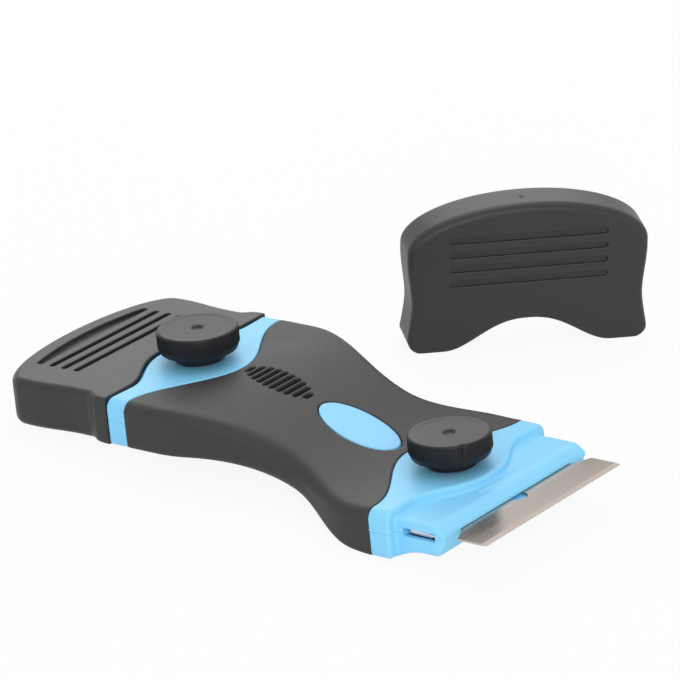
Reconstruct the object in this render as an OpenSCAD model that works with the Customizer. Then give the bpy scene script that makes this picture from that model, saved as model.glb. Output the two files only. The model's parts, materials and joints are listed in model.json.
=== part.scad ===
// Double-ended razor blade scraper, in millimetres.
// It lies on a table with one cap fitted and the other cap stood beside it on its rim.
// The handle runs along X, with the bare blade towards +X, and +Z is up.
// Each end has its own frame: x outwards from the knob axis, z up from the deck.

/* [Handle] */
// Distance between the two knob axes, along the handle
knob_spacing = 85.7; // [82:0.1:92]
// Height of the left deck over the right deck
crank_rise = 15.9; // [13:0.1:17]
// Thickness of the body at its ends
body_t = 13.2; // [12.8:0.1:15]
// How far the body stands out past the blade holder at each side
shoulder_w = 3.5; // [2.6:0.1:6]
// Width of the grip at its waist
waist_w = 54.8; // [48:0.1:62]
// Place of the waist, from the middle towards the bare blade
waist_x = 8; // [4:0.5:12]
// Radius of the upper edges
edge_r = 3; // [1.5:0.1:4]
// Radius of the lower edges at the ends
under_r = 1.2; // [0.8:0.1:2]
// Radius of the lower edges at the waist
waist_r = 4.6; // [3:0.1:5]
// Thickness of the soft grip over the core
grip_t = 2.2; // [1.8:0.1:2.6]
// Wall of the hollow core
core_wall = 2; // [1.2:0.1:2.4]
// Start of the crank on the top, from the middle
top_from = -28; // [-29:0.5:-26]
// End of the crank on the top, from the middle
top_to = 37; // [36:0.5:38]
// Start of the crank on the underside, from the middle
under_from = -21; // [-24:0.5:-19]
// End of the crank on the underside, from the middle
under_to = 42; // [40:0.5:43]
// Length over which the waist fades out towards the covered blade
waist_left = 39; // [34:0.5:44]
// Length over which the waist fades out towards the bare blade
waist_right = 27; // [24:0.5:30]

/* [Grip details] */
// Number of slots in the grip
vent_n = 10; // [6:1:12]
// Distance from slot to slot
vent_pitch = 2.2; // [1.9:0.1:2.4]
// Width of a slot
vent_w = 1.3; // [0.8:0.1:1.5]
// Depth of a slot
vent_depth = 1.4; // [0.6:0.1:1.5]
// Length of the longest slot
vent_span = 11.4; // [8:0.1:16]
// Middle of the slots, from the middle of the handle
vent_x = -15.2; // [-18:0.1:-14]
// Length of the oval badge
badge_len = 25.8; // [18:0.1:28]
// Width of the oval badge
badge_w = 13.8; // [9:0.1:16]
// Thickness of the oval badge
badge_t = 1; // [0.6:0.1:1.2]
// Middle of the badge, from the middle of the handle
badge_x = 12; // [11:0.1:13]

/* [Ends] */
// Half of the length of grip between the blue decks' tongues
grip_half = 27.85; // [26.85:0.05:29.85]
// Reach of the blue band at the sides, from the knob axis towards the grip
band_x = 1.6; // [1:0.1:3]
// Front of the deck in the middle, from the knob axis
nose_x = 13.3; // [12.5:0.1:14.5]
// Front of the deck beside its nose, from the knob axis
cheek_x = 4.6; // [4.2:0.1:4.9]
// Front of the body at its sides, from the knob axis
shoulder_x = 5; // [4.8:0.1:5.4]
// Radius of the upright folds at the body's front corners
fold_r = 1.8; // [1:0.1:2.4]
// How far from the body's sides the grip's edge starts to swing in to its tongue
bell_inset = 3.4; // [1.4:0.1:7.4]
// Half of the width of the deck's nose at its tip
nose_tip = 3.5; // [2:0.1:4]
// Half of the width of the deck's nose at its root
nose_half = 20.5; // [18:0.1:21]
// Depth of the holder's top below the deck
holder_drop = 2.4; // [1.8:0.1:2.8]
// How far the blade holder stands out past the blade at each side
holder_wall = 1.9; // [1.7:0.1:3]
// Front face of the holder, from the knob axis
holder_x = 21; // [20.2:0.1:22]
// Ridge where the holder's top turns down, from the knob axis
ridge_x = 18; // [16.5:0.1:18.4]
// Depth of the front lip's upper edge below the deck
lip_drop = 4.5; // [3.8:0.1:4.7]
// Depth of the holder's underside below the deck
holder_depth = 11.1; // [9.9:0.1:11.6]
// Length of the slope from the body's underside to the holder's
slope_len = 5.4; // [4:0.1:7]
// Depth of the seam between the shells below the deck
seam_drop = 6.1; // [6.05:0.05:6.4]
// Height of the window at each side of the holder
window_h = 2.2; // [1.6:0.1:2.4]
// Height of the window's upper edge over the middle of the clamp plate
window_lift = 1.65; // [1.2:0.05:1.8]
// Back of the window, from the knob axis
window_x = 7; // [6.6:0.1:8]
// How far the foot of the holder's front leans back
lip_lean = 2.6; // [0.6:0.1:3.2]
// Radius of the holder's front corners
holder_corner = 1.2; // [0.6:0.1:2]

/* [Knobs] */
// Diameter of the knob's head
knob_d = 23; // [20:0.1:24]
// Height of the knob's head
knob_h = 6.4; // [4.5:0.1:7.5]
// Diameter of the knob's neck
neck_d = 14; // [13:0.1:15]
// Height of the knob's neck
neck_h = 2.8; // [2:0.1:5]
// Number of teeth round the head
knurl_n = 70; // [48:2:80]
// Depth of the teeth
knurl_depth = 0.35; // [0.2:0.05:0.5]
// Bevel round the head's upper and lower edges
knob_bevel = 0.5; // [0.3:0.05:0.8]
// Width of the raised rim round the head's top
knob_rim = 2.5; // [1.5:0.1:4]
// Depth of the dish inside that rim
dish_depth = 0.3; // [0.2:0.05:0.6]
// Diameter of the dimple in the middle of the dish
dimple_d = 2.7; // [2:0.1:4]
// Depth of that dimple
dimple_depth = 0.6; // [0.3:0.05:1]
// Diameter of the threaded stud
stud_d = 5; // [4:0.1:5.5]
// Length of the stud past its nut
stud_tail = 0.8; // [0.4:0.1:1.4]
// Diameter of the washer under the neck
washer_d = 12; // [9:0.1:12.4]
// Thickness of that washer
washer_t = 0.8; // [0.5:0.1:1]
// How far the washer stands over the deck
washer_proud = 0.2; // [0.1:0.05:0.3]
// Diameter of the clip that holds the stud under the deck
clip_d = 9; // [7.5:0.1:10]
// Thickness of that clip
clip_t = 0.8; // [0.6:0.1:1]
// Width of the clip's open side
clip_mouth = 2.6; // [1.6:0.1:2.8]
// Depth of the stud's groove for the clip
clip_groove = 0.5; // [0.3:0.05:0.6]
// Thickness of the deck round the stud
deck_t = 3; // [2.6:0.1:3.4]

/* [Blade clamp] */
// Width of the blade at its edge
blade_w = 60; // [56:0.5:62]
// Thickness of the blade
blade_t = 0.5; // [0.3:0.05:0.6]
// Height of the blade's upper face over the seam between the shells
blade_rise = 0.8; // [0.75:0.05:0.9]
// Cutting edge, from the knob axis
edge_x = 33.5; // [30:0.1:36]
// Distance of the blade's full width from the holder's front
flank_gap = 2.9; // [1:0.1:5]
// How far the blade's tang is set in from its full width at each side
tang_step = 6; // [5:0.1:9]
// Back of the tang, from the knob axis
tang_x = 12; // [10.5:0.1:13]
// Depth of the ground bevel at the edge
hone = 1.8; // [1:0.1:2.5]
// Width of the blade's middle hole
hole_w = 5.6; // [4:0.1:7]
// Front of the blade's middle hole, from the knob axis
hole_x = 24; // [22:0.1:26]
// How far the ledge under that hole is wider than it at each side
ledge_side = 1.2; // [0.6:0.1:3]
// How far the ledge reaches past the front of that hole
ledge_reach = 0.4; // [0.2:0.1:1]
// Thickness of that ledge
ledge_t = 1; // [0.8:0.1:1.6]
// Thickness of the clamp plate
plate_t = 1; // [0.8:0.05:1.1]
// Front of the clamp plate, from the knob axis
plate_x = 17.4; // [16.5:0.1:17.6]
// Back of the clamp plate's front bar, from the knob axis
bar_x = 7.6; // [7.4:0.1:9]
// Width of the plate's tail round the stud
tail_w = 18; // [15:0.5:20]
// Travel of the clamp plate
clamp_travel = 1.5; // [1:0.1:1.6]
// Width across the square nut
nut_w = 8; // [7.5:0.1:9]
// Thickness of the nut
nut_t = 2.7; // [2:0.1:2.8]

/* [Screws] */
// Distance of the shell screws from the body's sides
screw_inset = 8.4; // [7.4:0.1:11.4]
// Place of the shell screws, from the knob axis
screw_x = 1.4; // [1:0.1:1.8]
// Diameter of the screw's thread
screw_d = 2; // [1.6:0.1:2.4]
// Diameter of the screw's head
screw_head_d = 4.2; // [3.6:0.1:4.6]
// Height of the screw's head
screw_head_h = 1.6; // [1.2:0.1:2]
// Depth of the screw's seat from the underside
screw_sink = 2.8; // [2.2:0.1:3.4]
// Depth of the screw's tip below the deck
screw_cover = 2.4; // [2:0.1:3]
// Length across the screw's cross recess
drive_len = 2.8; // [2:0.1:3]
// Width of the arms of that recess
drive_w = 0.6; // [0.4:0.05:0.8]
// Depth of that recess
drive_depth = 0.8; // [0.5:0.05:1]

/* [Caps] */
// Length of a cap from its rim to its closed end
cap_len = 43.9; // [42:0.1:48]
// Wall of a cap's sides
cap_wall = 1.1; // [0.9:0.05:1.2]
// How far a cap's faces stand over the body's top and underside
cap_proud = 0.3; // [0.1:0.05:0.5]
// How far a cap's sides draw in
cap_waist = 1.7; // [0.5:0.1:2]
// Length of a cap's straight sides behind its rim
cap_lip = 5; // [3:0.5:7]
// Start of a cap's oval end, from its rim
cap_side = 31; // [29:0.5:33]
// Corners of a cap's rim
lip_corner = 0.8; // [0.4:0.1:1.2]
// Depth of the arch in the rim
cap_arch = 9.2; // [9:0.1:10]
// Width of the arch in the rim
arch_w = 49; // [48:0.5:54]
// Radius of a cap's outer edges
cap_edge = 1.6; // [1:0.1:2.4]
// Thickness of a cap's faces
cap_face = 1.6; // [1.4:0.1:1.9]
// Number of grooves on each face
groove_n = 4; // [3:1:4]
// Distance from groove to groove
groove_pitch = 4.4; // [4:0.1:4.6]
// Width of a groove
groove_w = 1.9; // [1.2:0.1:2.2]
// Depth of a groove
groove_depth = 1; // [0.5:0.1:1.2]
// Length of a groove
groove_len = 46; // [36:0.5:50]
// Groove nearest the closed end, from the rim
groove_x = 34.2; // [33:0.1:35]
// Middle of the loose cap along the handle
loose_x = -6.2; // [-12:0.1:0]
// Middle of the loose cap away from the handle
loose_y = 99.8; // [90:0.1:110]
// Angle of the loose cap's width from the handle
loose_turn = 48.8; // [40:0.1:56]

/* [Clearances] */
// Gap between a fitted cap's rim and the body
rim_gap = 0.2; // [0.15:0.01:0.3]
// Gap between the blade, its jaw and its clamp plate
blade_gap = 0.1; // [0.05:0.01:0.12]
// Gap round a moving piece in its room
room_gap = 0.3; // [0.2:0.05:0.4]
// Radial gap round the stud
stud_gap = 0.08; // [0.03:0.01:0.1]
// Gap between the knob and its washer, and between the stud's clip and the deck
turn_gap = 0.1; // [0.05:0.01:0.15]
// Gap between the grip and the blue body
seam_gap = 0.1; // [0.05:0.01:0.2]

/* [Hidden] */
$fn = 64;
blue = [0.45, 0.75, 0.95];
badge_blue = [0.62, 0.85, 1];
soft_black = [0.27, 0.27, 0.28];
hard_black = [0.2, 0.2, 0.21];
steel = [0.72, 0.7, 0.68];
plated = [0.8, 0.8, 0.82];

// Widths, all from the blade's: the clamp plate, the tang, the blade holder and the body
plate_w = blade_w;
tang_w = blade_w - 2 * tang_step;
holder_w = blade_w + 2 * holder_wall;
body_w = holder_w + 2 * shoulder_w;
bell_half = body_w / 2 - bell_inset;
screw_y = body_w / 2 - screw_inset;

// The handle's own frame: s along it from its middle, z square to the decks
half_span = knob_spacing / 2;
// Reach of a blue deck from its knob axis towards the grip
tongue_x = half_span - grip_half;
top_run = [top_from, top_to];
under_run = [under_from, under_to];
seam_run = (top_run + under_run) / 2;
station_step = 3;
corner_steps = 4;
oval_points = 48;
plan_steps = 14;
front_steps = 16;
fold_steps = 4;
big = 200;
slit = 0.01;
// How far a cut or a blank runs past the face that it meets
over = 1;
// The oval patch of slots reaches this many pitches past its end slots
vent_spare = 0.2;

function clamp01(t) = min(1, max(0, t));
function ease(t) = let(c = clamp01(t)) c * c * (3 - 2 * c);
function swell(t) = pow(cos(90 * min(1, abs(t))), 2);
function crank(s, run) = crank_rise * (0.5 - ease((s - run[0]) / (run[1] - run[0])));
function top_z(s) = crank(s, top_run);
function under_z(s) = crank(s, under_run) - body_t;
function seam_z(s) = crank(s, seam_run) - seam_drop;
function waist(s) = swell((s - waist_x) / (s < waist_x ? waist_left : waist_right));
function half_w(s) = (body_w - (body_w - waist_w) * waist(s)) / 2;
function low_r(s) = under_r + (waist_r - under_r) * waist(s);

// Every loft and side cut uses stations from one ladder, with its own two ends
function stations(from, to) = concat([from],
    [for (k = [ceil((from + slit) / station_step):floor((to - slit) / station_step)])
        k * station_step], [to]);

// One closed outline of the body at station s, from the middle of the underside round to it again
function ring(s) = let(w = half_w(s), t = top_z(s), u = under_z(s), low = low_r(s))
    [for (c = [0:3]) for (k = [0:corner_steps])
        let(a = 90 * (c - 1 + k / corner_steps), upper = c == 1 || c == 2, r = upper ? edge_r : low)
        [s, (c < 2 ? 1 : -1) * (w - r) + r * cos(a), (upper ? t - r : u + r) + r * sin(a)]];

// Triangles over an outline whose second half mirrors its first
function end_face(n) = [for (i = [0:ceil(n / 2) - 2]) each (n - 2 - i == i + 1 ? [[i, i + 1, n - 1 - i]]
    : [[i, i + 1, n - 1 - i], [i + 1, n - 2 - i, n - 1 - i]])];

// Skin over mirrored outlines of equal length
module skin(rings) {
    n = len(rings[0]);
    m = len(rings);
    polyhedron(points = [for (r = rings) each r], faces = concat(end_face(n),
        [for (j = [0:m - 2]) for (i = [0:n - 1]) let(a = j * n + i, b = j * n + (i + 1) % n)
            each [[a, a + n, b], [b, a + n, b + n]]],
        [for (f = end_face(n)) [for (k = [2:-1:0]) (m - 1) * n + f[k]]]));
}

module loft(from, to) skin([for (s = stations(from, to)) ring(s)]);

// A shape drawn in side view, as wide as the caller says
module side_cut(points, width) rotate([90, 0, 0]) linear_extrude(width, center = true) polygon(points);

// The frames of the two ends, and the pose on the table
module at_end(side) translate([side * half_span, 0, -side * crank_rise / 2])
    mirror([side < 0 ? 1 : 0, 0, 0]) children();

cap_rim = shoulder_x + rim_gap;
cap_t = body_t + 2 * cap_proud;
cap_half = body_w / 2;
cap_mid_z = -body_t / 2;

// The handle rests on the fitted cap's closed end and on the lowest part of its own underside
cap_foot = [-(half_span + cap_rim + cap_len - cap_edge), crank_rise / 2 + cap_mid_z - cap_t / 2];
rest_pitch = max([for (s = stations(0, half_span + shoulder_x))
    atan((cap_foot[1] - under_z(s)) / (s - cap_foot[0]))]);
function tilt(x, z) = [x * cos(rest_pitch) - z * sin(rest_pitch), x * sin(rest_pitch) + z * cos(rest_pitch)];
table_z = tilt(cap_foot[0], cap_foot[1])[1];

// Sides of a cap from its rim to the oval closed end
arch_steps = 14;
side_steps = 10;
oval_steps = 12;
function cap_half_w(x) = let(t = clamp01((x - cap_lip) / (cap_side - cap_lip)))
    cap_half - cap_waist * pow(sin(180 * t), 2);
function arch_x(y) = cap_arch * swell(2 * y / arch_w);
// Half of a cap's outline at an inset, from its rim to the middle of its closed end
function cap_flank(d, from) = concat(
    [for (k = [0:side_steps]) let(x = from + (cap_side - from) * k / side_steps) [x, cap_half_w(x) - d]],
    [for (k = [1:oval_steps]) let(a = 90 * k / oval_steps)
        [cap_side + (cap_len - cap_side - d) * sin(a), (cap_half - d) * cos(a)]]);
function across(half) = concat(half, [for (k = [len(half) - 2:-1:0]) [half[k][0], -half[k][1]]]);
function cap_outline(d) = across(concat([[0, cap_half - d - lip_corner]], cap_flank(d, lip_corner)));
edge_steps = 4;
function cap_rings() = [for (end = [1, -1]) for (k = [0:edge_steps])
    let(a = 90 * (end > 0 ? 1 - k / edge_steps : k / edge_steps), d = cap_edge * (1 - cos(a)))
    [for (p = cap_outline(d)) [p[0], p[1], end * (cap_t / 2 - cap_edge + cap_edge * sin(a))]]];

// The object's box, whose bottom centre is the origin
cap_points = [for (r = cap_rings()) each r];
blade_top = blade_rise - seam_drop;
blade_mid = blade_top - blade_t / 2;
reach_left = min([for (p = cap_points)
    tilt(-(half_span + cap_rim + p[0]), crank_rise / 2 + cap_mid_z + p[2])[0]]);
reach_right = tilt(half_span + edge_x, -crank_rise / 2 + blade_mid)[0];
reach_far = max([for (p = cap_points) loose_y + abs(p[1]) * sin(loose_turn) + abs(p[2]) * cos(loose_turn)]);
origin_shift = [-(reach_left + reach_right) / 2, -(reach_far - cap_half) / 2, -table_z];

module posed() translate(origin_shift) rotate([0, -rest_pitch, 0]) children();

// Plan curves of an end: the edge of the grip, and the front of the deck
function bell_x(y) = -band_x - (tongue_x - band_x) * swell(y / bell_half);
fold_y = body_w / 2 - fold_r;
function step_x(y) = abs(y) < nose_half
    ? nose_x - (nose_x - cheek_x) * ease((abs(y) - nose_tip) / (nose_half - nose_tip))
    : cheek_x + (shoulder_x - cheek_x) * ease((abs(y) - nose_half) / (fold_y - nose_half));
plan_half = body_w / 2 + over;
plan_ys = [for (k = [-plan_steps:plan_steps]) plan_half * k / plan_steps];
// The front of the deck from side to side, with a rounded fold at each end
function fold_point(side, k) = let(a = 90 * k / fold_steps)
    [shoulder_x - fold_r * (1 - cos(a)), side * (fold_y + fold_r * sin(a))];
front_line = concat(
    [[0, plan_half], [shoulder_x - fold_r, plan_half]],
    [for (k = [fold_steps:-1:1]) fold_point(1, k)],
    [for (k = [front_steps:-1:-front_steps]) let(y = fold_y * k / front_steps) [step_x(y), y]],
    [for (k = [1:fold_steps]) fold_point(-1, k)],
    [[shoulder_x - fold_r, -plan_half], [0, -plan_half]]);

// Heights in an end frame
jaw_z = blade_top + blade_gap;
plate_top = blade_top - blade_t - blade_gap;
plate_low = plate_top - plate_t;
nut_low = plate_low - nut_t;
tail_x = -tail_w / 2;
neck_z = washer_proud + turn_gap;
clip_top = -deck_t - turn_gap;
stud_low = nut_low - stud_tail;
stud_grip = neck_z + neck_h + knob_h / 2;
clip_bore_d = stud_d - 2 * clip_groove;
screw_seat = screw_sink - body_t;
screw_tip = -screw_cover;
window_top = plate_top - plate_t / 2 + window_lift;
tang_end_x = holder_x + room_gap;
flank_x = holder_x + flank_gap;
slope_end = [shoulder_x + slope_len, -holder_depth];

// The blue body at one end, between the edge of the grip and the front of the deck
module end_block(side) {
    inner = half_span - tongue_x - over;
    outer = half_span + nose_x + over;
    difference() {
        intersection() {
            loft(side < 0 ? -outer : inner, side < 0 ? -inner : outer);
            at_end(side) translate([0, 0, -body_t - over]) linear_extrude(body_t + crank_rise) polygon(concat(
                [for (y = plan_ys) [bell_x(y), y]], front_line));
        }
        at_end(side) side_cut([[shoulder_x, -body_t - over], [shoulder_x, -body_t], slope_end,
            [big, -holder_depth], [big, -body_t - over]], big);
    }
}

// The blade holder in front of the body
module holder() intersection() {
    side_cut([[0, -holder_drop], [ridge_x, -holder_drop], [holder_x, -lip_drop], [holder_x, jaw_z],
        [holder_x - lip_lean, -holder_depth], slope_end, [shoulder_x, -body_t], [0, -body_t]], holder_w);
    translate([0, 0, -body_t - over]) linear_extrude(body_t + over) holder_plan();
}

// The ledge that shows through the blade's middle hole, just below the seam
module blade_ledge() {
    root_x = plate_x + room_gap + over;
    ledge_w = hole_w + 2 * ledge_side;
    translate([root_x, -ledge_w / 2, -seam_drop - blade_gap - ledge_t])
        cube([hole_x + ledge_reach - root_x, ledge_w, ledge_t]);
}

module holder_plan() {
    r = holder_corner;
    translate([0, -holder_w / 2]) square([holder_x - r, holder_w]);
    translate([0, -holder_w / 2 + r]) square([holder_x, holder_w - 2 * r]);
    for (y = [-1, 1]) translate([holder_x - r, y * (holder_w / 2 - r)]) circle(r);
}

// A length of the core at an inset from the body's outside
module core(inset, half_len) {
    run = stations(-half_len, half_len);
    back = [for (k = [len(run) - 1:-1:0]) run[k]];
    intersection() {
        side_cut(concat(
            [for (s = run) [s, top_z(s) - inset]], [for (s = back) [s, under_z(s) + inset]]), big);
        translate([0, 0, -big / 2]) linear_extrude(big) polygon(concat(
            [for (s = run) [s, half_w(s) - inset]], [for (s = back) [s, inset - half_w(s)]]));
    }
}

// Rooms inside an end for the clamp plate, the nut, the blade, the clip and the windows
module clamp_room() {
    floor_z = plate_low - clamp_travel - room_gap;
    nut_floor = nut_low - clamp_travel - room_gap;
    span_x = plate_x - bar_x + 2 * room_gap;
    translate([bar_x - room_gap, -plate_w / 2 - room_gap, floor_z])
        cube([span_x, plate_w + 2 * room_gap, jaw_z - floor_z]);
    translate([tail_x - room_gap, -tail_w / 2 - room_gap, floor_z])
        cube([plate_x - tail_x, tail_w + 2 * room_gap, jaw_z - floor_z]);
    translate([-nut_w / 2 - room_gap, -nut_w / 2 - room_gap, nut_floor])
        cube([nut_w + 2 * room_gap, nut_w + 2 * room_gap, jaw_z - nut_floor]);
    translate([tang_x - room_gap, -tang_w / 2 - room_gap, -seam_drop])
        cube([big, tang_w + 2 * room_gap, jaw_z + seam_drop]);
    translate([0, 0, floor_z]) cylinder(d = clip_d + 2 * room_gap, h = -deck_t - floor_z);
    for (side = [0, 1]) mirror([0, side, 0]) translate([window_x, plate_w / 2, window_top - window_h])
        cube([plate_x + room_gap - window_x, big, window_h]);
}

module stud_hole() {
    translate([0, 0, -deck_t - over]) cylinder(d = stud_d + 2 * stud_gap, h = deck_t + 2 * over);
    translate([0, 0, washer_proud - washer_t]) cylinder(d = washer_d + room_gap, h = washer_t + over);
}

module for_screws() for (y = [-1, 1]) translate([screw_x, y * screw_y, 0]) children();

module screw_hole() {
    translate([0, 0, -body_t - over]) cylinder(d = screw_head_d + room_gap, h = screw_sink + over);
    translate([0, 0, screw_seat - over]) cylinder(d = screw_d + room_gap, h = over - seam_drop - screw_seat);
    translate([0, 0, screw_seat]) cylinder(d = screw_d, h = screw_tip - screw_seat);
}

// Everything below the seam between the shells
module below_seam() {
    run = stations(-big / 2, big / 2);
    side_cut(concat([for (s = run) [s, seam_z(s)]], [[big / 2, -big / 2], [-big / 2, -big / 2]]), big);
}

module blue_body() difference() {
    union() {
        core(grip_t, half_span);
        for (side = [-1, 1]) {
            end_block(side);
            at_end(side) holder();
            at_end(side) blade_ledge();
        }
    }
    core(grip_t + core_wall, half_span - tongue_x - core_wall);
    for (side = [-1, 1]) at_end(side) {
        clamp_room();
        for_screws() screw_hole();
    }
}

module upper_shell() color(blue) posed() difference() {
    blue_body();
    below_seam();
    for (side = [-1, 1]) at_end(side) stud_hole();
}

module lower_shell() color(blue) posed() intersection() {
    blue_body();
    below_seam();
}

// The oval of the badge, and the slots beside it
module badge_oval(grow) {
    a = badge_len / 2 + grow;
    b = badge_w / 2 + grow;
    translate([badge_x, 0, -big / 2]) linear_extrude(big)
        polygon([for (k = [1:oval_points]) let(turn = 360 * k / oval_points) [a * cos(turn), b * sin(turn)]]);
}

// A layer under the top of the handle, from one depth to another
module top_layer(from, to) {
    run = stations(-half_span, half_span);
    back = [for (k = [len(run) - 1:-1:0]) run[k]];
    side_cut(concat([for (s = run) [s, top_z(s) - from]], [for (s = back) [s, top_z(s) - to]]), big);
}

module vents() for (k = [0:vent_n - 1]) {
    place = k - (vent_n - 1) / 2;
    span = vent_span * sqrt(1 - pow(place / (vent_n / 2 + vent_spare), 2)) - vent_w;
    s = vent_x + place * vent_pitch;
    translate([s, 0, top_z(s) - vent_depth]) linear_extrude(crank_rise) {
        square([vent_w, span], center = true);
        for (y = [-1, 1]) translate([0, y * span / 2]) circle(d = vent_w);
    }
}

module grip_sleeve() color(soft_black) posed() difference() {
    intersection() {
        loft(-half_span, half_span);
        translate([0, 0, -big / 2]) linear_extrude(big) polygon(concat(
            [for (y = plan_ys) [half_span + bell_x(y) - seam_gap, y]],
            [for (k = [len(plan_ys) - 1:-1:0]) [seam_gap - half_span - bell_x(plan_ys[k]), plan_ys[k]]]));
    }
    core(grip_t - seam_gap / 2, half_span + over);
    vents();
    intersection() {
        badge_oval(seam_gap);
        top_layer(-crank_rise, badge_t);
    }
}

module badge_inlay() color(badge_blue) posed() intersection() {
    badge_oval(0);
    top_layer(0, badge_t);
}

module screw() difference() {
    head_z = screw_seat - screw_head_h;
    shank_z = head_z + drive_depth;
    union() {
        translate([0, 0, head_z]) cylinder(d = screw_head_d, h = screw_head_h);
        translate([0, 0, shank_z]) cylinder(d = screw_d, h = screw_tip - slit - shank_z);
    }
    for (a = [0, 90]) rotate(a) translate([-drive_len / 2, -drive_w / 2, head_z - over])
        cube([drive_len, drive_w, drive_depth + over]);
}

module shell_screws() color(plated) posed() for (side = [-1, 1]) at_end(side) for_screws() screw();

// A knurled head on a plain neck, with a dished top
module knob_head() {
    head_z = neck_z + neck_h;
    top = head_z + knob_h;
    edge = knob_d / 2 - knob_bevel;
    difference() {
        union() {
            translate([0, 0, neck_z]) cylinder(d = neck_d, h = neck_h + knob_bevel);
            intersection() {
                translate([0, 0, head_z]) linear_extrude(knob_h) knurl();
                rotate_extrude() polygon([[0, head_z], [edge, head_z], [edge + over, head_z + over],
                    [edge + over, top - over], [edge, top], [0, top]]);
            }
        }
        translate([0, 0, neck_z - over]) cylinder(d = stud_d, h = stud_grip - neck_z + over);
        translate([0, 0, top - dish_depth]) cylinder(d = knob_d - 2 * knob_rim, h = dish_depth + over);
        translate([0, 0, top - dish_depth - dimple_depth]) cylinder(d = dimple_d, h = dimple_depth + over);
    }
}

module knurl() polygon([for (k = [0:2 * knurl_n - 1])
    let(r = knob_d / 2 - (k % 2) * knurl_depth, a = 180 * k / knurl_n) [r * cos(a), r * sin(a)]]);

module knob_stud() difference() {
    translate([0, 0, stud_low]) cylinder(d = stud_d, h = stud_grip - stud_low);
    translate([0, 0, clip_top - clip_t]) difference() {
        cylinder(d = stud_d + over, h = clip_t);
        translate([0, 0, -over]) cylinder(d = clip_bore_d, h = clip_t + 2 * over);
    }
}

module stud_clip() translate([0, 0, clip_top - clip_t]) difference() {
    cylinder(d = clip_d, h = clip_t);
    translate([0, 0, -over]) cylinder(d = clip_bore_d, h = clip_t + 2 * over);
    translate([0, -clip_mouth / 2, -over]) cube([clip_d, clip_mouth, clip_t + 2 * over]);
}

module deck_washer() translate([0, 0, washer_proud - washer_t]) difference() {
    cylinder(d = washer_d, h = washer_t);
    translate([0, 0, -over]) cylinder(d = stud_d + 2 * stud_gap, h = washer_t + 2 * over);
}

// The plate's front bar lies under the blade and its tail is carried on the stud's nut
module clamp_plate() difference() {
    translate([0, 0, plate_low]) linear_extrude(plate_t) {
        translate([bar_x, -plate_w / 2]) square([plate_x - bar_x, plate_w]);
        translate([tail_x, -tail_w / 2]) square([(bar_x + plate_x) / 2 - tail_x, tail_w]);
    }
    translate([0, 0, plate_low - over]) cylinder(d = stud_d + 2 * stud_gap, h = plate_t + 2 * over);
}

module clamp_nut() difference() {
    translate([-nut_w / 2, -nut_w / 2, nut_low]) cube([nut_w, nut_w, nut_t]);
    translate([0, 0, nut_low - over]) cylinder(d = stud_d + 2 * stud_gap, h = nut_t + 2 * over);
}

// A wide edge, slanted shoulders and a narrower tang with a long hole
module blade() intersection() {
    hole_ends = [tang_x + hole_w, hole_x - hole_w / 2];
    translate([0, 0, blade_top - over]) linear_extrude(2 * over) difference() {
        polygon([[tang_x, -tang_w / 2], [tang_end_x, -tang_w / 2], [flank_x, -blade_w / 2],
            [edge_x, -blade_w / 2], [edge_x, blade_w / 2], [flank_x, blade_w / 2],
            [tang_end_x, tang_w / 2], [tang_x, tang_w / 2]]);
        translate([hole_ends[0], -hole_w / 2]) square([hole_ends[1] - hole_ends[0], hole_w]);
        for (x = hole_ends) translate([x, 0]) circle(d = hole_w);
    }
    side_cut([[0, blade_top], [edge_x - hone, blade_top], [edge_x, blade_mid],
        [edge_x - hone, blade_top - blade_t], [0, blade_top - blade_t]], big);
}

module end_piece(side, tint) color(tint) posed() at_end(side) children();

module knob_head_right() end_piece(1, hard_black) knob_head();
module knob_stud_right() end_piece(1, plated) knob_stud();
module stud_clip_right() end_piece(1, plated) stud_clip();
module deck_washer_right() end_piece(1, plated) deck_washer();
module clamp_plate_right() end_piece(1, steel) clamp_plate();
module clamp_nut_right() end_piece(1, plated) clamp_nut();
module blade_right() end_piece(1, steel) blade();
module knob_head_left() end_piece(-1, hard_black) knob_head();
module knob_stud_left() end_piece(-1, plated) knob_stud();
module stud_clip_left() end_piece(-1, plated) stud_clip();
module deck_washer_left() end_piece(-1, plated) deck_washer();
module clamp_plate_left() end_piece(-1, steel) clamp_plate();
module clamp_nut_left() end_piece(-1, plated) clamp_nut();
module blade_left() end_piece(-1, steel) blade();

// A cap from its rim at x = 0, hollow, with an arched rim and grooves on both faces
module cap() difference() {
    skin(cap_rings());
    translate([0, 0, -cap_t]) linear_extrude(2 * cap_t) polygon(concat(
        [[-over, arch_w / 2], [-over, -arch_w / 2]],
        [for (k = [0:arch_steps]) let(y = arch_w * (k / arch_steps - 0.5)) [arch_x(y), y]]));
    translate([0, 0, -(cap_t / 2 - cap_face)]) linear_extrude(cap_t - 2 * cap_face) cap_hollow();
    translate([-cap_rim, 0, -cap_mid_z]) side_cut([[0, -body_t - over], [cap_rim, -body_t - over],
        [cap_rim, -body_t], slope_end + [rim_gap, -rim_gap], [0, -holder_depth]], holder_w + 2 * rim_gap);
    for (k = [0:groove_n - 1]) for (face = [-1, 1])
        translate([groove_x - k * groove_pitch, 0, face * cap_t / 2]) groove();
}

module cap_hollow() polygon(across(cap_flank(cap_wall, -over)));

module groove() translate([0, 0, -groove_depth]) linear_extrude(2 * groove_depth) {
    square([groove_w, groove_len - groove_w], center = true);
    for (y = [-1, 1]) translate([0, y * (groove_len - groove_w) / 2]) circle(d = groove_w);
}

module fitted_cap() color(hard_black) posed() at_end(-1) translate([cap_rim, 0, cap_mid_z]) cap();

module loose_cap() color(hard_black) translate([origin_shift[0] + loose_x, origin_shift[1] + loose_y, 0])
    rotate([0, 0, 90 + loose_turn]) rotate([0, -90, 0]) cap();

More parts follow.
